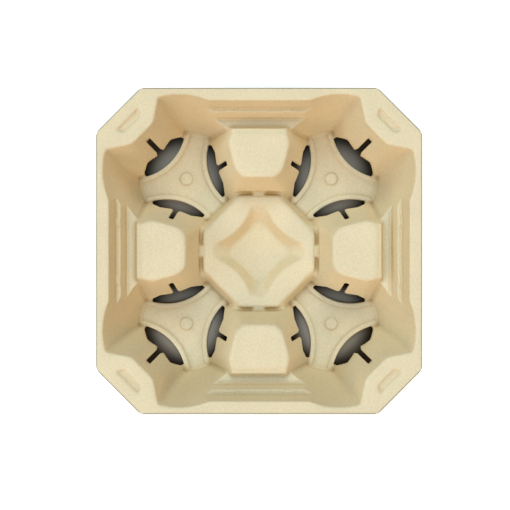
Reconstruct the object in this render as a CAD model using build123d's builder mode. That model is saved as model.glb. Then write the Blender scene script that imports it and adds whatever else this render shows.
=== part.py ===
from build123d import *

import os
from math import cos, radians, sin, sqrt, tan

# Four-cup carrier: one tray moulded from fibre pulp, its wells open upwards.
# Origin under the middle of the tray, on the surface it stands on, +Z up.

# Tray
tray_side = 217.0
tray_height = 48.0
sheet = 1.8
corner_cut = 29.5
corner_round = 7.0
rim_edge_bevel = 0.8
well_rim_land = 4.4

# Drafts of the mould, in degrees from the vertical
well_draft = 20.0
cheek_draft = 19.0
saddle_draft = 26.0

# Cup wells: drafted cones, three cheeks leaning into each
well_floor_radius = 33.3
well_foot_bevel = 1.8
cheek_floor_distance = 18.2
cheek_front_width = 20.2
cheek_flank_angle = 56.0
cheek_corner_round = 8.0
cheek_turn = 30.0

# Star-shaped floor of a well: beads along its three hollow edges, a boss in the middle
bead_width = 3.0
bead_run = 1.3
bead_height = 1.5
boss_foot_radius = 5.2
boss_top_radius = 3.9
boss_height = 1.5

# Openings punched through the foot of each cheek, with a slit up its middle
punch_inner = 16.9
punch_end_distance = 22.3
punch_end_width = 40.0
punch_petal_distance = 25.6
punch_petal_width = 23.0
punch_root_distance = 24.4
punch_shoulder_run = 2.0
punch_shoulder_drop = 1.2
slit_width = 3.6
slit_end_distance = 31.9
slit_root_bevel = 1.2

# Saddles between neighbouring wells, each with a low ledge at its outer end
saddle_height = 38.0
saddle_length = 33.2
saddle_inset = 3.1
saddle_outer_front = 11.1
saddle_inner_front = 8.0
saddle_ledge_width = 2.2
saddle_ledge_run = 1.1
saddle_ledge_drop = 1.7

# Stepped wall behind each saddle, from the tray's side inwards
side_land = 8.5
upper_step_run = 3.0
upper_ledge_height = 37.0
upper_ledge_width = 2.5
lower_step_run = 2.8
trench_height = 29.0
nub_spacing = 40.0
nub_length = 5.5
nub_width = 1.6
nub_height = 0.8

# Hub in the middle, with a sunken star and a round nub towards each saddle
hub_height = 17.0
hub_inset = 13.3
hub_side_length = 26.4
hub_bevel = 1.5
ridge_height = 13.5
recess_margin = 7.2
recess_tip_width = 10.6
recess_hollow = 4.9
recess_run = 11.2
pad_height = 7.5
pad_tip_width = 4.0
pad_hollow = 0.7
bridge_radius = 3.6
bridge_height = 16.2
bridge_reach = 4.8

# Shallow grip sunk into each corner land
grip_margin = 11.1
grip_length = 23.0
grip_inner_length = 16.0
grip_width = 6.0
grip_depth = 1.8
grip_draft = 35.0

clear = 5.0
recess_over = 1.5

well_slope = tan(radians(well_draft))
cheek_slope = tan(radians(cheek_draft))
cup_offset = tray_side / 2 - well_rim_land - well_floor_radius - tray_height * well_slope
side_rim = tray_side / 2 - side_land
upper_ledge_outer = side_rim - upper_step_run
upper_ledge_inner = upper_ledge_outer - upper_ledge_width
trench_outer = upper_ledge_inner - lower_step_run
saddle_inner = cup_offset - saddle_inset
saddle_outer = saddle_inner + saddle_length
hub_side = cup_offset - hub_inset
recess_tip = hub_side - recess_margin
recess_waist = (recess_tip + recess_tip_width / 2) / sqrt(2) - recess_hollow
pad_tip = recess_tip - recess_run
pad_waist = (pad_tip + pad_tip_width / 2) / sqrt(2) - pad_hollow


def cheek_distance(height, draft):
    """Distance of a cheek's face from its cup's axis at one height."""
    return cheek_floor_distance + height * tan(radians(draft))


def raised(outline, level, top, draft, grow, bevel=0.0):
    """Drafted block with a flat top: the outline is its section at level, and grow thins it."""
    reach = (level + clear) * tan(radians(draft))
    start = -clear - grow / sin(radians(draft))
    with BuildPart() as block:
        with BuildSketch(Plane.XY.offset(start)):
            add(outline)
            offset(amount=reach, kind=Kind.INTERSECTION)
        extrude(amount=top - grow - start, taper=draft)
        if bevel > grow:
            chamfer(block.faces().sort_by(Axis.Z)[-1].edges(), bevel - grow)
    return block.part


def well(grow, top):
    """Conical space of one well, about the Z axis, with a bevelled foot."""
    floor_radius = well_floor_radius + sheet * well_slope
    top_radius = well_floor_radius + top * well_slope
    with BuildPart() as cone:
        with BuildSketch(Plane.XZ) as profile:
            with BuildLine():
                Polyline((0, sheet), (floor_radius, sheet), (top_radius, top), (0, top), close=True)
            make_face()
            foot = profile.vertices().sort_by(Axis.Y)[:2].sort_by(Axis.X)[-1]
            chamfer(foot, well_foot_bevel)
            offset(amount=grow, kind=Kind.INTERSECTION)
            Rectangle(
                tray_side, 2 * top, align=(Align.MIN, Align.CENTER), mode=Mode.INTERSECT
            )
        revolve(axis=Axis.Z)
    return cone.part


def corner_cheek(grow):
    """Cheek on a well's diagonal, up to the rim, along +X from the cup's axis."""
    front = cheek_distance(tray_height, cheek_draft)
    half = cheek_front_width / 2
    turn = radians(cheek_flank_angle)
    run = well_floor_radius
    back = front + 2 * run
    flank_end = half + run * sin(turn)
    with BuildSketch() as plan:
        with BuildLine():
            Polyline(
                (front, -half),
                (front, half),
                (front + run * cos(turn), flank_end),
                (back, flank_end),
                (back, -flank_end),
                (front + run * cos(turn), -flank_end),
                close=True,
            )
        make_face()
        fillet(plan.vertices().sort_by(Axis.X)[:2], cheek_corner_round)
    return raised(plan.sketch, tray_height, tray_height + 2 * clear, cheek_draft, grow)


def beside_saddle(along, across):
    """Point on the saddle's +X side, from its distance along and across the cheek's axis."""
    turn = radians(45 - cheek_turn)
    x = cup_offset - along * cos(turn) + across * sin(turn)
    y = cup_offset + along * sin(turn) + across * cos(turn)
    return (x, y)


def saddle_flank(grow):
    """Block that ends a saddle on its +X side: the cheek's face, outer flank and inner bevel."""
    front = cheek_distance(saddle_height, saddle_draft)
    turn = radians(cheek_flank_angle)
    outer_run = well_floor_radius
    outer_end = beside_saddle(
        front + outer_run * cos(turn), saddle_outer_front + outer_run * sin(turn)
    )
    outer_corner = beside_saddle(front, saddle_outer_front)
    inner_corner = beside_saddle(front, -saddle_inner_front)
    inner_drop = inner_corner[1] - saddle_inner + sheet
    inner_run = inner_drop / sin(turn - radians(45 - cheek_turn))
    inner_end = beside_saddle(
        front + inner_run * cos(turn), -saddle_inner_front - inner_run * sin(turn)
    )
    with BuildSketch() as plan:
        with BuildLine():
            Polyline(
                (-cup_offset, inner_end[1]),
                inner_end,
                inner_corner,
                outer_corner,
                outer_end,
                (-cup_offset, outer_end[1]),
                close=True,
            )
        make_face()
        corners = plan.vertices().sort_by_distance(outer_corner)[:1]
        corners += plan.vertices().sort_by_distance(inner_corner)[:1]
        fillet(corners, cheek_corner_round)
    return raised(plan.sketch, saddle_height, saddle_height + clear, saddle_draft, grow)


def saddle(grow):
    """Saddle on the +Y side: a profile with its end walls, between two flanks."""
    flank = saddle_flank(grow)
    foot = (saddle_height + clear) * cheek_slope
    ledge = saddle_height - saddle_ledge_drop
    ledge_start = saddle_outer - saddle_ledge_width
    with BuildPart() as slab:
        with BuildSketch(Plane.YZ):
            with BuildLine():
                Polyline(
                    (saddle_outer + foot, -clear),
                    (saddle_outer, ledge),
                    (ledge_start, ledge),
                    (ledge_start - saddle_ledge_run, saddle_height),
                    (saddle_inner, saddle_height),
                    (saddle_inner - foot, -clear),
                    close=True,
                )
            make_face()
            offset(amount=-grow, kind=Kind.INTERSECTION)
        extrude(amount=cup_offset, both=True)
        add(flank, mode=Mode.INTERSECT)
        add(flank.mirror(Plane.YZ), mode=Mode.INTERSECT)
    return slab.part


def slot(grow, top):
    """Space over a saddle and its trench, bounded by the stepped wall of one side."""
    lip = side_rim + (top - tray_height) * upper_step_run / (tray_height - upper_ledge_height)
    with BuildPart() as space:
        with BuildSketch(Plane.YZ):
            with BuildLine():
                Polyline(
                    (0, top),
                    (0, trench_height),
                    (trench_outer, trench_height),
                    (upper_ledge_inner, upper_ledge_height),
                    (upper_ledge_outer, upper_ledge_height),
                    (lip, top),
                    close=True,
                )
            make_face()
            offset(amount=grow, kind=Kind.INTERSECTION)
            Rectangle(
                tray_side, 2 * top, align=(Align.MIN, Align.CENTER), mode=Mode.INTERSECT
            )
        extrude(amount=cup_offset, both=True)
    return space.part


def star(tip, tip_width, waist):
    """Four-pointed outline with blunt tips on the axes and hollow sides."""
    half = tip_width / 2
    waist_corner = waist / sqrt(2)
    with BuildSketch() as outline:
        with BuildLine():
            Line((tip, -half), (tip, half))
            ThreePointArc((tip, half), (waist_corner, waist_corner), (half, tip))
            Line((half, tip), (-half, tip))
            ThreePointArc((-half, tip), (-waist_corner, waist_corner), (-tip, half))
            Line((-tip, half), (-tip, -half))
            ThreePointArc((-tip, -half), (-waist_corner, -waist_corner), (-half, -tip))
            Line((-half, -tip), (half, -tip))
            ThreePointArc((half, -tip), (waist_corner, -waist_corner), (tip, -half))
        make_face()
    return outline.sketch.face()


def recess(grow):
    """Space of the star sunk into the hub, with its walls offset outwards by grow."""
    depth = hub_height - pad_height
    sections = []
    for height in (pad_height - grow, hub_height + recess_over):
        rise = (height - pad_height) / depth
        sizes = []
        for low, high in (
            (pad_tip, recess_tip),
            (pad_tip_width / 2, recess_tip_width / 2),
            (pad_waist, recess_waist),
        ):
            lean = (high - low) / depth
            sizes.append(low + (high - low) * rise + grow * sqrt(1 + lean * lean))
        section = star(sizes[0], 2 * sizes[1], sizes[2])
        sections.append(section.moved(Location((0, 0, height))))
    with BuildPart() as space:
        loft(sections, ruled=True)
    return space.part


def hub(grow):
    """Raised eight-sided land in the middle of the tray."""
    half = hub_side_length / 2
    with BuildSketch() as outline:
        Rectangle(2 * hub_side, 2 * hub_side)
        chamfer(outline.vertices(), hub_side - half)
    return raised(outline.sketch, hub_height, hub_height, cheek_draft, grow, hub_bevel)


def bridge():
    """Round nub that joins the hub to the valley in front of a saddle."""
    with BuildSketch() as outline:
        with Locations((0, hub_side + bridge_reach - bridge_radius)):
            Circle(bridge_radius)
    return raised(outline.sketch, bridge_height, bridge_height, cheek_draft, 0.0)


def grip(grow, top):
    """Space of the shallow grip on the +X +Y diagonal, widening upwards."""
    slope = tan(radians(grip_draft))
    bottom = tray_height - grip_depth - grow
    shrink = (grip_depth + grow) * slope - grow / cos(radians(grip_draft))
    middle = (tray_side - corner_cut) / sqrt(2) - grip_margin
    inner = middle - grip_width / 2
    outer = middle + grip_width / 2
    with BuildPart() as space:
        with BuildSketch(Plane.XY.offset(bottom)):
            with BuildLine():
                Polyline(
                    (inner, -grip_inner_length / 2),
                    (outer, -grip_length / 2),
                    (outer, grip_length / 2),
                    (inner, grip_inner_length / 2),
                    close=True,
                )
            make_face()
            offset(amount=-shrink, kind=Kind.INTERSECTION)
        extrude(amount=top - bottom, taper=-grip_draft)
    return space.part.rotate(Axis.Z, 45)


def air(grow, top):
    """Space above the sheet up to one height, with its walls offset outwards by grow."""
    corner = cup_offset
    well_part = well(grow, top)
    slot_part = slot(grow, top)
    saddle_part = saddle(grow)
    cheek_part = corner_cheek(grow).rotate(Axis.Z, 45).moved(Location((corner, corner, 0)))
    hub_part = hub(grow)
    recess_part = recess(grow)
    grip_part = grip(grow, top)
    ridge = ridge_height - grow
    with BuildPart() as space:
        with GridLocations(2 * corner, 2 * corner, 2, 2):
            add(well_part)
        with PolarLocations(0, 4):
            add(slot_part)
        with Locations((0, 0, ridge)):
            Box(
                2 * saddle_inner,
                2 * saddle_inner,
                trench_height + clear - ridge,
                align=(Align.CENTER, Align.CENTER, Align.MIN),
            )
        with PolarLocations(0, 4):
            add(saddle_part, mode=Mode.SUBTRACT)
            add(cheek_part, mode=Mode.SUBTRACT)
        add(hub_part, mode=Mode.SUBTRACT)
        add(recess_part)
        with PolarLocations(0, 4):
            add(grip_part)
    return space.part


def punch():
    """Opening cut straight up through a cheek's foot: two petals and the slit between them."""
    end = punch_end_width / 2
    petal = punch_petal_width / 2
    slit = slit_width / 2
    shoulder = (punch_end_distance + punch_shoulder_run, end - punch_shoulder_drop)
    with BuildPart() as cut:
        with BuildSketch(Plane.XY.offset(-clear)) as outline:
            with BuildLine():
                ThreePointArc(
                    (punch_end_distance, -end), (punch_inner, 0), (punch_end_distance, end)
                )
                Polyline(
                    (punch_end_distance, end),
                    shoulder,
                    (punch_petal_distance, petal),
                    (punch_root_distance, slit),
                    (slit_end_distance, slit),
                    (slit_end_distance, -slit),
                    (punch_root_distance, -slit),
                    (punch_petal_distance, -petal),
                    (shoulder[0], -shoulder[1]),
                    (punch_end_distance, -end),
                )
            make_face()
            roots = outline.vertices().filter_by_position(
                Axis.X, punch_root_distance - slit, punch_root_distance + slit
            )
            chamfer(roots.filter_by_position(Axis.Y, -slit_width, slit_width), slit_root_bevel)
        extrude(amount=tray_height + 2 * clear)
    return cut.part


def hollow_edge_bead():
    """Low bead on a well's floor along one hollow edge of its star."""
    chord = punch_end_distance - punch_inner
    half = punch_end_width / 2
    edge_radius = (chord * chord + half * half) / (2 * chord)
    top_radius = edge_radius + bead_width
    upright = (Align.CENTER, Align.CENTER, Align.MIN)
    with BuildPart() as bead:
        with Locations((punch_inner + edge_radius, 0, sheet)):
            Cone(top_radius + bead_run, top_radius, bead_height, align=upright)
            Cylinder(edge_radius - sheet, bead_height, align=upright, mode=Mode.SUBTRACT)
        Cylinder(
            well_floor_radius + sheet, 2 * bead_height + 2 * sheet, mode=Mode.INTERSECT
        )
    return bead.part


def side_nub():
    """Low nub on the upper ledge of the +Y side."""
    ledge = (upper_ledge_inner + upper_ledge_outer) / 2
    with BuildPart() as nub:
        with Locations((nub_spacing / 2, ledge, upper_ledge_height - sheet / 2)):
            Box(
                nub_length,
                nub_width,
                nub_height + sheet / 2,
                align=(Align.CENTER, Align.CENTER, Align.MIN),
            )
        mirror(about=Plane.YZ)
    return nub.part


outer = air(sheet, tray_height - sheet / 2)
opening = punch()
edge_bead = hollow_edge_bead()
nub = side_nub()

with BuildPart() as inner:
    add(air(0.0, tray_height + clear))
    with PolarLocations(0, 4):
        add(bridge(), mode=Mode.SUBTRACT)

with BuildPart() as cup_carrier:
    with BuildSketch(Plane.XY.offset(tray_height - sheet)) as plate:
        Rectangle(tray_side, tray_side)
        chamfer(plate.vertices(), corner_cut)
        fillet(plate.vertices(), corner_round)
    extrude(amount=sheet)
    chamfer(cup_carrier.faces().sort_by(Axis.Z)[-1].edges(), rim_edge_bevel)
    add(outer)
    add(inner.part, mode=Mode.SUBTRACT)
    with GridLocations(2 * cup_offset, 2 * cup_offset, 2, 2):
        with Locations((0, 0, sheet)):
            Cone(
                boss_foot_radius,
                boss_top_radius,
                boss_height,
                align=(Align.CENTER, Align.CENTER, Align.MIN),
            )
    with PolarLocations(0, 4):
        add(nub)
        with Locations((cup_offset, cup_offset)):
            with PolarLocations(0, 3, 45):
                add(edge_bead)
                add(opening, mode=Mode.SUBTRACT)

cup_carrier.part.label = "cup_carrier"
os.makedirs("parts", exist_ok=True)
export_step(cup_carrier.part, "parts/cup_carrier.step")
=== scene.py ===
"""Four-cup carrier moulded from paper pulp, seen straight from above on a pale floor."""

import logging
import math
from dataclasses import dataclass, field
from enum import Enum

import bpy
import numpy as np
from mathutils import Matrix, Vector

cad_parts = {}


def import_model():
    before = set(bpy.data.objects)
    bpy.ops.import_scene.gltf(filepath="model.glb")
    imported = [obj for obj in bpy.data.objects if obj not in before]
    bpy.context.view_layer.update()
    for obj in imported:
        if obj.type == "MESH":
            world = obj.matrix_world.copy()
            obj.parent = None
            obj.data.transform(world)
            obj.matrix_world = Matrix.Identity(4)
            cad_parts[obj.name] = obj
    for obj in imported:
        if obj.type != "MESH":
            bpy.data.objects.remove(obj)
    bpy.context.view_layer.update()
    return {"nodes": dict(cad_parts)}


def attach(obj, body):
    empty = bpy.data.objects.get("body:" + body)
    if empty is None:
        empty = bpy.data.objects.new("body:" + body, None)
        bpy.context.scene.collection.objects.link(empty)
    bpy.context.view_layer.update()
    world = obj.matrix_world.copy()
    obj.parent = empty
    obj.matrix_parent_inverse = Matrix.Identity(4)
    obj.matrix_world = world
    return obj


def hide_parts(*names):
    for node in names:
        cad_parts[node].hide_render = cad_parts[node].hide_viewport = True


LOG = logging.getLogger("cup_carrier")
MM = 0.001


class Compass(Enum):
    """Which way a lamp stands from the tray, in degrees clockwise from its back edge."""

    BACK = 0.0
    FRONT_RIGHT = 135.0
    FRONT = 180.0
    FRONT_LEFT = 225.0
    LEFT = 270.0


def linear(hex_colour: str) -> tuple[float, float, float, float]:
    """Turn an sRGB hex colour into linear RGBA.

    Args:
        hex_colour: Six hex digits, with or without a leading hash.

    Returns:
        Red, green, blue and an alpha of 1, in linear light.
    """
    digits = hex_colour.lstrip("#")
    channels = [int(digits[i : i + 2], 16) / 255 for i in (0, 2, 4)]
    curve = [c / 12.92 if c <= 0.04045 else ((c + 0.055) / 1.055) ** 2.4 for c in channels]
    return (curve[0], curve[1], curve[2], 1.0)


def scale_for(size_mm: float) -> float:
    """Noise scale on Object coordinates for features of a real size in millimetres."""
    return 1.0 / (size_mm * MM)


def add_node(
    tree: bpy.types.NodeTree,
    kind: str,
    settings: dict[str | int, object] | None = None,
    links: dict[str | int, bpy.types.NodeSocket] | None = None,
) -> bpy.types.Node:
    """Add one node, set its properties and sockets, and link its inputs.

    Args:
        tree: Node tree that gets the node.
        kind: Blender's name for the node type.
        settings: Value for each property, input name or input number.
        links: Output socket that feeds each input name or number.

    Returns:
        The new node.
    """
    node = tree.nodes.new(kind)
    for name, value in (settings or {}).items():
        if isinstance(name, str) and hasattr(node, name):
            setattr(node, name, value)
        else:
            node.inputs[name].default_value = value
    for name, socket in (links or {}).items():
        tree.links.new(socket, node.inputs[name])
    return node


def seen_directly(tree: bpy.types.NodeTree) -> bpy.types.NodeSocket:
    """Tell rays that show a surface as it is from those that only carry light.

    Args:
        tree: Node tree that gets the nodes.

    Returns:
        1 for camera, mirror and glass rays, 0 for the others.
    """
    path = add_node(tree, "ShaderNodeLightPath")
    mirrored = add_node(
        tree,
        "ShaderNodeMath",
        {"operation": "MAXIMUM"},
        {0: path.outputs["Is Glossy Ray"], 1: path.outputs["Is Transmission Ray"]},
    )
    return add_node(
        tree,
        "ShaderNodeMath",
        {"operation": "MAXIMUM"},
        {0: path.outputs["Is Camera Ray"], 1: mirrored.outputs[0]},
    ).outputs[0]


# Recycled paper pulp, drawn onto a mesh mould by vacuum and dried. To the eye it is quite matt,
# with a fine speckle of fibres and soft clumps under it. Painted shade darkens the steep walls,
# the rim's outer edge and the tight corners.
@dataclass(frozen=True)
class MouldedPulp:
    """Finish of the tray.

    Level faces are a pale straw colour. The drafted walls get painted shade, warmer and darker the
    steeper they face, and the rim's rounded outer edge a grey painted shade; tight corners get
    painted shade too. Single fibres are too fine to show, so the speckle is drawn a little coarser
    than they are. A facing is how far a face looks upwards, from 0 to 1, and corner_tight and
    corner_open are how much open view a point has.
    """

    name: str = "moulded_paper_pulp"
    level: str = "#E1D1AF"
    level_facing: float = 0.97
    # painted shade: walls get this darker, warmer colour, the more so the steeper they face
    wall_painted_shade: str = "#DDC9A2"
    wall_facing: float = 0.55
    # painted shade: a grey band on the rim's rounded outer edge
    edge_painted_shade: str = "#8F8A72"
    rim_half_mm: float = 107.4
    corner_half_mm: float = 131.4
    edge_blend_mm: float = 0.5
    # painted shade: tight corners are darkened towards this colour
    corner_painted_shade: str = "#C6B18A"
    corner_mm: float = 4.0
    corner_tight: float = 0.60
    corner_open: float = 0.97
    corner_samples: int = 16
    fibre_mm: float = 1.3
    fibre_detail: float = 4.0
    clump_mm: float = 4.5
    clump_detail: float = 3.0
    cloud_mm: float = 34.0
    cloud_detail: float = 2.0
    noise_roughness: float = 0.65
    noise_low: float = 0.3
    noise_high: float = 0.7
    speckle: float = 0.075
    clouding: float = 0.03
    grain_depth_mm: float = 0.05
    clump_depth_mm: float = 0.12
    roughness: float = 0.92
    ior: float = 1.45
    specular: float = 0.10

    def material(self) -> bpy.types.Material:
        """Build the node material.

        Returns:
            The finished material.
        """
        made = bpy.data.materials.new(self.name)
        made.use_nodes = True
        tree = made.node_tree
        tree.nodes.clear()
        coordinates = add_node(tree, "ShaderNodeTexCoord")
        place = coordinates.outputs["Object"]
        fibre, clump, cloud = (
            add_node(
                tree,
                "ShaderNodeTexNoise",
                {"Scale": scale_for(size_mm), "Detail": detail, "Roughness": self.noise_roughness},
                {"Vector": place},
            ).outputs["Fac"]
            for size_mm, detail in (
                (self.fibre_mm, self.fibre_detail),
                (self.clump_mm, self.clump_detail),
                (self.cloud_mm, self.cloud_detail),
            )
        )
        # painted shade on the walls and the rim's outer edge, then in the tight corners
        painted_shade_base = self.colour_with_painted_shade(tree, place, coordinates.outputs["Normal"])
        speckled = self.speckled(tree, painted_shade_base, fibre, cloud)
        corner_shaded = self.painted_corner_shade(tree, speckled)
        surface = add_node(
            tree,
            "ShaderNodeBsdfPrincipled",
            {
                "Roughness": self.roughness,
                "IOR": self.ior,
                "Specular IOR Level": self.specular,
            },
            {"Base Color": corner_shaded, "Normal": self.grain(tree, clump, fibre)},
        )
        add_node(tree, "ShaderNodeOutputMaterial", {}, {"Surface": surface.outputs["BSDF"]})
        return made

    def colour_with_painted_shade(
        self,
        tree: bpy.types.NodeTree,
        place: bpy.types.NodeSocket,
        normal: bpy.types.NodeSocket,
    ) -> bpy.types.NodeSocket:
        """Colour level faces, and paint shade on the walls and on the rim's outer edge.

        Args:
            tree: Node tree that gets the nodes.
            place: Object coordinates.
            normal: Direction that the surface faces, in the tray's own frame.

        Returns:
            The colour.
        """
        facing = add_node(tree, "ShaderNodeSeparateXYZ", {}, {"Vector": normal})
        flatness = add_node(
            tree,
            "ShaderNodeMapRange",
            {"From Min": self.wall_facing, "From Max": self.level_facing},
            {"Value": facing.outputs["Z"]},
        )
        # steep faces take the painted wall shade, level faces the straw colour
        body = add_node(
            tree,
            "ShaderNodeMix",
            {"data_type": "RGBA", 6: linear(self.wall_painted_shade), 7: linear(self.level)},
            {0: flatness.outputs["Result"]},
        )
        # the rim's outer edge gets its grey painted shade
        return add_node(
            tree,
            "ShaderNodeMix",
            {"data_type": "RGBA", 7: linear(self.edge_painted_shade)},
            {0: self.painted_edge_mask(tree, place), 6: body.outputs[2]},
        ).outputs[2]

    def painted_edge_mask(
        self, tree: bpy.types.NodeTree, place: bpy.types.NodeSocket
    ) -> bpy.types.NodeSocket:
        """Find the rounded outer edge of the rim, which gets a grey painted shade.

        Args:
            tree: Node tree that gets the nodes.
            place: Object coordinates.

        Returns:
            1 on the edge and 0 everywhere else.
        """
        axes = add_node(tree, "ShaderNodeSeparateXYZ", {}, {"Vector": place})
        x, y = (
            add_node(
                tree, "ShaderNodeMath", {"operation": "ABSOLUTE"}, {0: axes.outputs[axis]}
            ).outputs[0]
            for axis in ("X", "Y")
        )
        both = add_node(tree, "ShaderNodeMath", {"operation": "ADD"}, {0: x, 1: y})
        across = add_node(
            tree,
            "ShaderNodeMath",
            {
                "operation": "MULTIPLY_ADD",
                1: math.sqrt(0.5),
                2: (self.rim_half_mm - self.corner_half_mm) * MM,
            },
            {0: both.outputs[0]},
        )
        side = add_node(tree, "ShaderNodeMath", {"operation": "MAXIMUM"}, {0: x, 1: y})
        reach = add_node(
            tree,
            "ShaderNodeMath",
            {"operation": "MAXIMUM"},
            {0: side.outputs[0], 1: across.outputs[0]},
        )
        edge = self.rim_half_mm * MM
        return add_node(
            tree,
            "ShaderNodeMapRange",
            {"From Min": edge, "From Max": edge + self.edge_blend_mm * MM},
            {"Value": reach.outputs[0]},
        ).outputs["Result"]

    def speckled(
        self,
        tree: bpy.types.NodeTree,
        colour: bpy.types.NodeSocket,
        fibre: bpy.types.NodeSocket,
        cloud: bpy.types.NodeSocket,
    ) -> bpy.types.NodeSocket:
        """Make a colour lighter and darker with the fibres, and a little in wide clouds.

        Args:
            tree: Node tree that gets the nodes.
            colour: Colour without the speckle.
            fibre: Fine noise.
            cloud: Wide noise.

        Returns:
            The speckled colour.
        """
        fine, wide = (
            add_node(
                tree,
                "ShaderNodeMapRange",
                {
                    "From Min": self.noise_low,
                    "From Max": self.noise_high,
                    "To Min": 1.0 - change,
                    "To Max": 1.0 + change,
                },
                {"Value": noise},
            ).outputs["Result"]
            for noise, change in ((fibre, self.speckle), (cloud, self.clouding))
        )
        tone = add_node(tree, "ShaderNodeMath", {"operation": "MULTIPLY"}, {0: fine, 1: wide})
        return add_node(
            tree,
            "ShaderNodeVectorMath",
            {"operation": "SCALE"},
            {"Vector": colour, "Scale": tone.outputs[0]},
        ).outputs["Vector"]

    def painted_corner_shade(
        self, tree: bpy.types.NodeTree, colour: bpy.types.NodeSocket
    ) -> bpy.types.NodeSocket:
        """Paint shade into the tight corners, by how little open view they have.

        Args:
            tree: Node tree that gets the nodes.
            colour: Colour of the open faces.

        Returns:
            The colour with painted shade in the tight corners.
        """
        openness = add_node(
            tree,
            "ShaderNodeAmbientOcclusion",
            {
                "samples": self.corner_samples,
                "only_local": True,
                "Distance": self.corner_mm * MM,
            },
        )
        tightness = add_node(
            tree,
            "ShaderNodeMapRange",
            {
                "From Min": self.corner_tight,
                "From Max": self.corner_open,
                "To Min": 1.0,
                "To Max": 0.0,
            },
            {"Value": openness.outputs["AO"]},
        )
        # painted shade in the tight corners, deeper where there is less open view
        return add_node(
            tree,
            "ShaderNodeMix",
            {"data_type": "RGBA", "blend_type": "MULTIPLY", 7: linear(self.corner_painted_shade)},
            {0: tightness.outputs["Result"], 6: colour},
        ).outputs[2]

    def grain(
        self,
        tree: bpy.types.NodeTree,
        clump: bpy.types.NodeSocket,
        fibre: bpy.types.NodeSocket,
    ) -> bpy.types.NodeSocket:
        """Raise fine grain on soft clumps.

        Args:
            tree: Node tree that gets the nodes.
            clump: Coarse noise.
            fibre: Fine noise.

        Returns:
            The bumped normal.
        """
        coarse = add_node(
            tree,
            "ShaderNodeBump",
            {"Strength": 1.0, "Distance": self.clump_depth_mm * MM},
            {"Height": clump},
        )
        return add_node(
            tree,
            "ShaderNodeBump",
            {"Strength": 1.0, "Distance": self.grain_depth_mm * MM},
            {"Height": fibre, "Normal": coarse.outputs["Normal"]},
        ).outputs["Normal"]


class Skin:
    """A mesh's points as arrays, each with the neighbours that its edges lead to."""

    def __init__(self, mesh: bpy.types.Mesh) -> None:
        """Read the points, their normals and the edges.

        Args:
            mesh: Mesh that is read.
        """
        self.count = len(mesh.vertices)
        flat = np.empty(self.count * 3, dtype=np.float32)
        mesh.vertices.foreach_get("co", flat)
        self.place = flat.reshape(-1, 3).astype(np.float64)
        mesh.vertex_normals.foreach_get("vector", flat)
        self.normal = flat.reshape(-1, 3).astype(np.float64)
        pairs = np.empty(len(mesh.edges) * 2, dtype=np.int32)
        mesh.edges.foreach_get("vertices", pairs)
        self.start, self.end = pairs.reshape(-1, 2).T
        self.links = np.maximum(np.bincount(pairs, minlength=self.count), 1)

    def around(self, values: np.ndarray, rounds: int = 1) -> np.ndarray:
        """Average the neighbours' values at each point.

        Args:
            values: One number for each point.
            rounds: How often that is done.

        Returns:
            The averages, one for each point.
        """
        for _ in range(rounds):
            total = np.bincount(self.start, weights=values[self.end], minlength=self.count)
            total += np.bincount(self.end, weights=values[self.start], minlength=self.count)
            values = total / self.links
        return values

    def bend(self) -> np.ndarray:
        """Measure how far each point lies below its neighbours' middle.

        The tray's two faces bend together, so a valley counts as one on both of them.

        Returns:
            The distance in millimetres, negative on a ridge.
        """
        middle = np.stack([self.around(self.place[:, axis]) for axis in range(3)], axis=1)
        pull = np.sum((middle - self.place) * self.normal, axis=1)
        return pull * np.sign(self.normal[:, 2]) / MM


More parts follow.
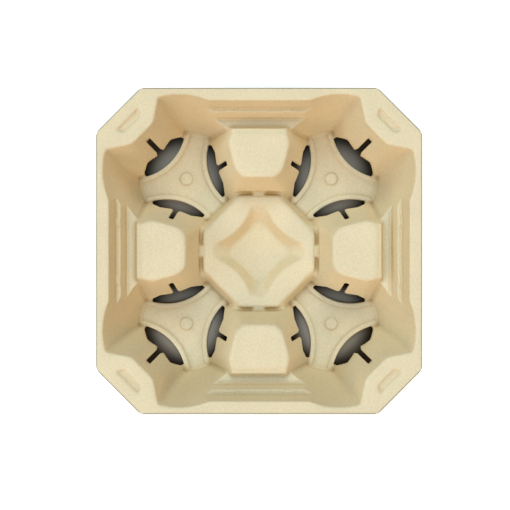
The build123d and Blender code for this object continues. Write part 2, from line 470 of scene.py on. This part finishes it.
@dataclass
class PulpTray:
    """The moulded tray: the CAD sheet with its creases softened as wet pulp leaves them.

    A share is how much of the softening a place takes. A start, end or half is a distance from
    the tray's middle lines, or for the hub and its nubs from their own middles.
    """

    node: bpy.types.Object
    finish: MouldedPulp = field(default_factory=MouldedPulp)
    merge_mm: float = 0.01
    voxel_mm: float = 0.42
    smooth_factor: float = 0.5
    overall_rounds: int = 2
    valley_rounds: int = 180
    valley_spread: int = 120
    valley_full_bend_mm: float = 0.0022
    steep: float = 0.66
    cut_steep: float = 0.12
    guard_steps: int = 9
    least_share: float = 0.08
    floor_level_mm: float = 3.4
    clear_level_mm: float = 7.0
    rim_level_mm: float = 45.6
    grip_share: float = 0.30
    hub_half_mm: float = 45.0
    hub_share: float = 0.45
    moat_start_mm: float = 34.5
    moat_end_mm: float = 45.0
    moat_half_mm: float = 17.0
    moat_share: float = 0.85
    nub_distance_mm: float = 37.5
    nub_half_mm: float = 5.5
    nub_share: float = 0.03
    steps_start_mm: float = 82.0
    steps_half_mm: float = 41.0
    steps_share: float = 0.10
    blend_rounds: int = 2
    share_levels: int = 20
    most_triangles: int = 190000

    def build(self) -> bpy.types.Object:
        """Shape and dress the tray.

        Returns:
            The finished piece, riding on the tray's body.
        """
        tray = self.copy_of_node()
        self.remesh(tray)
        self.soften(tray, self.overall_rounds)
        self.weigh_valleys(tray)
        self.soften(tray, self.valley_rounds, "valleys")
        self.thin_out(tray)
        tray.data.materials.clear()
        tray.data.materials.append(self.finish.material())
        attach(tray, "root")
        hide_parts("cup_carrier")
        return tray

    def copy_of_node(self) -> bpy.types.Object:
        """Copy the CAD node's mesh to a new object, with its doubled points merged.

        Returns:
            The new object, selected and active.
        """
        bpy.ops.object.select_all(action="DESELECT")
        tray = bpy.data.objects.new("pulp_tray", self.node.data.copy())
        bpy.context.scene.collection.objects.link(tray)
        tray.select_set(True)
        bpy.context.view_layer.objects.active = tray
        bpy.ops.object.mode_set(mode="EDIT")
        bpy.ops.mesh.select_all(action="SELECT")
        bpy.ops.mesh.remove_doubles(threshold=self.merge_mm * MM)
        bpy.ops.object.mode_set(mode="OBJECT")
        return tray

    def remesh(self, tray: bpy.types.Object) -> None:
        """Rebuild the surface as an even skin.

        Args:
            tray: Object that is reshaped in place.
        """
        skin = tray.modifiers.new("skin", "REMESH")
        skin.mode = "VOXEL"
        skin.voxel_size = self.voxel_mm * MM
        skin.adaptivity = 0.0
        bpy.ops.object.modifier_apply(modifier=skin.name)

    def soften(self, tray: bpy.types.Object, rounds: int, group: str = "") -> None:
        """Even the skin out, as the wet fibre mat does over the mould.

        Args:
            tray: Object that is reshaped in place.
            rounds: How often each point moves towards its neighbours' middle.
            group: Vertex group that limits it, or an empty name for the whole skin.
        """
        even = tray.modifiers.new("even", "SMOOTH")
        even.factor = self.smooth_factor
        even.iterations = rounds
        even.vertex_group = group
        bpy.ops.object.modifier_apply(modifier=even.name)

    def weigh_valleys(self, tray: bpy.types.Object) -> None:
        """Fill a vertex group with the creases between the walls, where the pulp lies softest.

        The cut edges, the rim's outer edge and the beads on the well floors stay out of it. The
        hub's nubs and the steps of the side walls get a small share, and the grips in the rim
        one of their own.

        Args:
            tray: Object that gets the group.
        """
        skin = Skin(tray.data)
        height = skin.place[:, 2] / MM
        near, far = (np.sort(np.abs(skin.place[:, :2]), axis=1) / MM).T
        on_hub = np.hypot(near, far) < self.hub_half_mm
        on_steps = (far > self.steps_start_mm) & (near < self.steps_half_mm)
        on_moat = (far > self.moat_start_mm) & (far < self.moat_end_mm)
        on_moat &= near < self.moat_half_mm
        on_nub = np.hypot(near, far - self.nub_distance_mm) < self.nub_half_mm

        share = np.clip(self.valleys(skin) / self.valley_full_bend_mm, self.least_share, 1.0)
        share = np.where(height > self.rim_level_mm, self.grip_share, share)
        share = np.where(on_hub, np.maximum(share, self.hub_share), share)
        share = np.where(on_steps, np.minimum(share, self.steps_share), share)
        share = np.where(on_moat, np.maximum(share, self.moat_share), share)
        share = np.where(on_nub, self.nub_share, share)
        share = skin.around(share, self.blend_rounds)

        cut = np.where(on_moat, 0.0, self.cut_edges(skin))
        rise = (height - self.floor_level_mm) / (self.clear_level_mm - self.floor_level_mm)
        share *= (1.0 - cut) * np.clip(rise, 0.0, 1.0)
        group = tray.vertex_groups.new(name="valleys")
        levels = np.rint(share * self.share_levels).astype(int)
        for level in range(1, self.share_levels + 1):
            points = np.flatnonzero(levels == level).tolist()
            group.add(points, level / self.share_levels, "REPLACE")

    def valleys(self, skin: Skin) -> np.ndarray:
        """Measure the creases, spread over the faces beside them.

        Valleys count everywhere, and ridges only between two steep walls.

        Args:
            skin: The tray's points.

        Returns:
            How sharply the skin bends round each point, in millimetres.
        """
        bend = skin.bend()
        on_wall = np.abs(skin.normal[:, 2]) < self.steep
        crease = np.where(on_wall, np.abs(bend), np.clip(bend, 0.0, None))
        return skin.around(crease, self.valley_spread)

    def cut_edges(self, skin: Skin) -> np.ndarray:
        """Find the upright cut edges of the sheet and a soft margin round them.

        Args:
            skin: The tray's points.

        Returns:
            1 on a cut edge, fading to 0 past the margin.
        """
        cut = (np.abs(skin.normal[:, 2]) < self.cut_steep).astype(float)
        for _ in range(self.guard_steps):
            cut = (cut + skin.around(cut) > 0.0).astype(float)
        return skin.around(cut, self.guard_steps)

    def thin_out(self, tray: bpy.types.Object) -> None:
        """Merge faces where the skin is flat, down to the triangle budget.

        Args:
            tray: Object that is reshaped in place.
        """
        tray.data.calc_loop_triangles()
        before = len(tray.data.loop_triangles)
        if before > self.most_triangles:
            fewer = tray.modifiers.new("fewer", "DECIMATE")
            fewer.ratio = self.most_triangles / before
            bpy.ops.object.modifier_apply(modifier=fewer.name)
        bpy.ops.object.shade_smooth()
        tray.data.calc_loop_triangles()
        LOG.info("pulp_tray: %d triangles, was %d", len(tray.data.loop_triangles), before)


# Matt white paper sweep of a product studio. To the eye it is plain white with a soft shadow.
# Under each well it is painted as a dark grey surface with painted shadow on it: mid grey under
# the middle and dark under the overhanging walls, which is what the openings of the wells show.
@dataclass(frozen=True)
class PaperSweep:
    """Finish of the floor: it glows a little for the camera, and carries painted shade under each
    well.

    Every start and end is a distance in metres from the middle of the nearest well, and
    well_offset is that middle's distance from the tray's middle lines.
    """

    name: str = "floor_paper"
    colour: str = "#FFFFFF"
    # painted shade under each well: mid grey in the middle, far_shade under the overhang
    shade: str = "#938D84"
    shade_end: float = 0.0175
    far_shade: str = "#2A241E"
    far_start: float = 0.0310
    far_end: float = 0.0410
    light_start: float = 0.0500
    well_offset: float = 0.0533
    roughness: float = 0.5
    glow: float = 0.30

    def material(self) -> bpy.types.Material:
        """Build the node material.

        Returns:
            The finished material.
        """
        made = bpy.data.materials.new(self.name)
        made.use_nodes = True
        tree = made.node_tree
        tree.nodes.clear()
        distance = self.distance_from_well(tree)
        under, outside = (
            add_node(
                tree,
                "ShaderNodeMapRange",
                {"interpolation_type": "SMOOTHSTEP", "From Min": start, "From Max": end},
                {"Value": distance},
            ).outputs["Result"]
            for start, end in (
                (self.shade_end, self.far_start),
                (self.far_end, self.light_start),
            )
        )
        dim = add_node(
            tree,
            "ShaderNodeMix",
            {"data_type": "RGBA", 6: linear(self.shade), 7: linear(self.far_shade)},
            {0: under},
        )
        colour = add_node(
            tree,
            "ShaderNodeMix",
            {"data_type": "RGBA", 7: linear(self.colour)},
            {0: outside, 6: dim.outputs[2]},
        )
        matt = add_node(
            tree,
            "ShaderNodeBsdfDiffuse",
            {"Roughness": self.roughness},
            {"Color": colour.outputs[2]},
        )
        lift = add_node(
            tree,
            "ShaderNodeMath",
            {"operation": "MULTIPLY", 1: self.glow},
            {0: seen_directly(tree)},
        )
        strength = add_node(
            tree,
            "ShaderNodeMath",
            {"operation": "MULTIPLY"},
            {0: lift.outputs[0], 1: outside},
        )
        glow = add_node(
            tree,
            "ShaderNodeEmission",
            {"Color": linear(self.colour)},
            {"Strength": strength.outputs[0]},
        )
        both = add_node(
            tree, "ShaderNodeAddShader", {}, {0: matt.outputs["BSDF"], 1: glow.outputs[0]}
        )
        add_node(tree, "ShaderNodeOutputMaterial", {}, {"Surface": both.outputs[0]})
        return made

    def distance_from_well(self, tree: bpy.types.NodeTree) -> bpy.types.NodeSocket:
        """Measure how far a point of the floor lies from the middle of the nearest well.

        Args:
            tree: Node tree that gets the nodes.

        Returns:
            The distance in metres.
        """
        place = add_node(tree, "ShaderNodeTexCoord").outputs["Object"]
        folded = add_node(
            tree, "ShaderNodeVectorMath", {"operation": "ABSOLUTE"}, {"Vector": place}
        )
        return add_node(
            tree,
            "ShaderNodeVectorMath",
            {"operation": "DISTANCE", 1: (self.well_offset, self.well_offset, 0.0)},
            {0: folded.outputs["Vector"]},
        ).outputs["Value"]


@dataclass
class Floor:
    """Wide level floor, a hair under the tray's feet. Its sizes are in metres."""

    finish: PaperSweep = field(default_factory=PaperSweep)
    half_size: float = 1.6
    drop: float = 0.0004

    def build(self) -> bpy.types.Object:
        """Lay the floor.

        Returns:
            The floor object.
        """
        bpy.ops.object.select_all(action="DESELECT")
        bpy.ops.mesh.primitive_plane_add(size=2 * self.half_size, location=(0, 0, -self.drop))
        floor = bpy.context.object
        floor.name = "floor"
        floor.data.materials.append(self.finish.material())
        return floor


@dataclass(frozen=True)
class Lamp:
    """One large soft lamp, far enough away to light the whole tray alike.

    Its height and softness are angles in degrees.
    """

    stands: Compass
    height: float
    strength: float
    colour: str
    softness: float = 30.0

    def place(self) -> None:
        """Add the lamp to the scene, turned towards the tray."""
        data = bpy.data.lights.new(f"lamp_{self.stands.name.lower()}", "SUN")
        data.energy = self.strength
        data.color = linear(self.colour)[:3]
        data.angle = math.radians(self.softness)
        lamp = bpy.data.objects.new(data.name, data)
        bpy.context.scene.collection.objects.link(lamp)
        turn = math.radians(self.stands.value)
        rise = math.radians(self.height)
        towards = Vector(
            (math.sin(turn) * math.cos(rise), math.cos(turn) * math.cos(rise), math.sin(rise))
        )
        lamp.rotation_mode = "QUATERNION"
        lamp.rotation_quaternion = towards.to_track_quat("Z", "Y")
        lamp.location = towards


@dataclass
class Studio:
    """Cool lamps from behind, in front and the left, warm ones from the front's two corners.

    The camera's place is in metres, and its sensor and lens are in millimetres.
    """

    sky: float = 0.18
    sky_seen: float = 1.0
    sky_colour: str = "#FFFFFF"
    lamps: tuple[Lamp, ...] = (
        Lamp(Compass.BACK, 48.0, 1.60, "#EAFBFF"),
        Lamp(Compass.FRONT, 70.0, 1.05, "#DAEEFF"),
        Lamp(Compass.FRONT_LEFT, 25.0, 0.96, "#FFE2CB"),
        Lamp(Compass.LEFT, 25.0, 0.77, "#D3F1FF"),
        Lamp(Compass.FRONT_RIGHT, 32.0, 0.84, "#FFD8A2"),
    )
    camera_place: tuple[float, float, float] = (-0.0028, -0.0027, 0.460)
    sensor: float = 36.0
    lens: float = 43.83
    nearest: float = 0.01

    def light(self) -> None:
        """Set the world and the lamps."""
        world = bpy.data.worlds.new("studio")
        bpy.context.scene.world = world
        world.use_nodes = True
        tree = world.node_tree
        back = tree.nodes["Background"]
        back.inputs["Color"].default_value = linear(self.sky_colour)
        level = add_node(
            tree,
            "ShaderNodeMapRange",
            {"To Min": self.sky, "To Max": self.sky_seen},
            {"Value": seen_directly(tree)},
        )
        tree.links.new(level.outputs["Result"], back.inputs["Strength"])
        for lamp in self.lamps:
            lamp.place()

    def camera(self) -> None:
        """Put the camera straight above the tray, looking down."""
        data = bpy.data.cameras.new("camera")
        data.sensor_width = self.sensor
        data.lens = self.lens
        data.clip_start = self.nearest
        made = bpy.data.objects.new("camera", data)
        bpy.context.scene.collection.objects.link(made)
        made.location = self.camera_place
        bpy.context.scene.camera = made


def main() -> None:
    """Build the tray, the floor and the studio in order."""
    logging.basicConfig(level=logging.INFO, format="%(message)s")
    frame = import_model()
    tray = PulpTray(frame["nodes"]["cup_carrier"]).build()
    LOG.info("built %s", tray.name)
    floor = Floor().build()
    LOG.info("built %s", floor.name)
    studio = Studio()
    studio.light()
    studio.camera()
    LOG.info("built the studio with %d lamps", len(studio.lamps))
    bpy.context.scene.view_settings.view_transform = "Standard"


if __name__ == "__main__":
    main()
